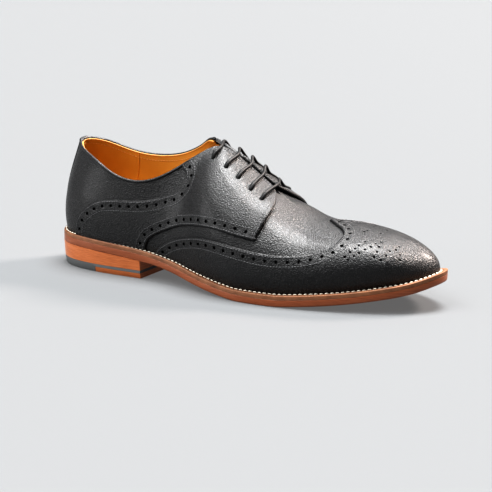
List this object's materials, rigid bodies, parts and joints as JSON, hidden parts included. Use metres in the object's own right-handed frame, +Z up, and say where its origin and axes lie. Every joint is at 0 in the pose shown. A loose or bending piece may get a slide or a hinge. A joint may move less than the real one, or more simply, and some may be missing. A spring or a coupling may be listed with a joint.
{
  "type": "brogue derby shoe",
  "caption": "Black leather lace-up derby shoe with a winged toe cap, open quarters, a welted leather sole and a low stacked heel.",
  "frame": {"origin": "middle of the heel's flat rubber rest, on the floor", "axes": "+X from heel to toe, +Y to the inner (medial) side of this right shoe, +Z up"},
  "size_m": [0.3021, 0.1061, 0.1047],
  "materials": {
    "upper_leather": "fine-grained black leather, polished",
    "lining": "smooth tan lining leather, matt",
    "welt": "natural pale leather with pale stitching",
    "sole_leather": "reddish tan leather, edges stained and waxed",
    "rubber": "matt black rubber",
    "lace": "round waxed cotton cord, black"
  },
  "bodies": {
    "root": {"upper": "upper_leather", "wing_cap": "upper_leather", "quarter_lateral": "upper_leather", "quarter_medial": "upper_leather", "tongue": "upper_leather", "insole": "lining", "welt": "welt", "outsole": "sole_leather", "heel_stack": "sole_leather", "heel_front_lift": "sole_leather", "heel_rubber": "rubber", "lace_bar_1": "lace", "lace_bar_2": "lace", "lace_bar_3": "lace", "lace_bar_4": "lace", "lace_bar_5": "lace"}
  },
  "joints": []
}
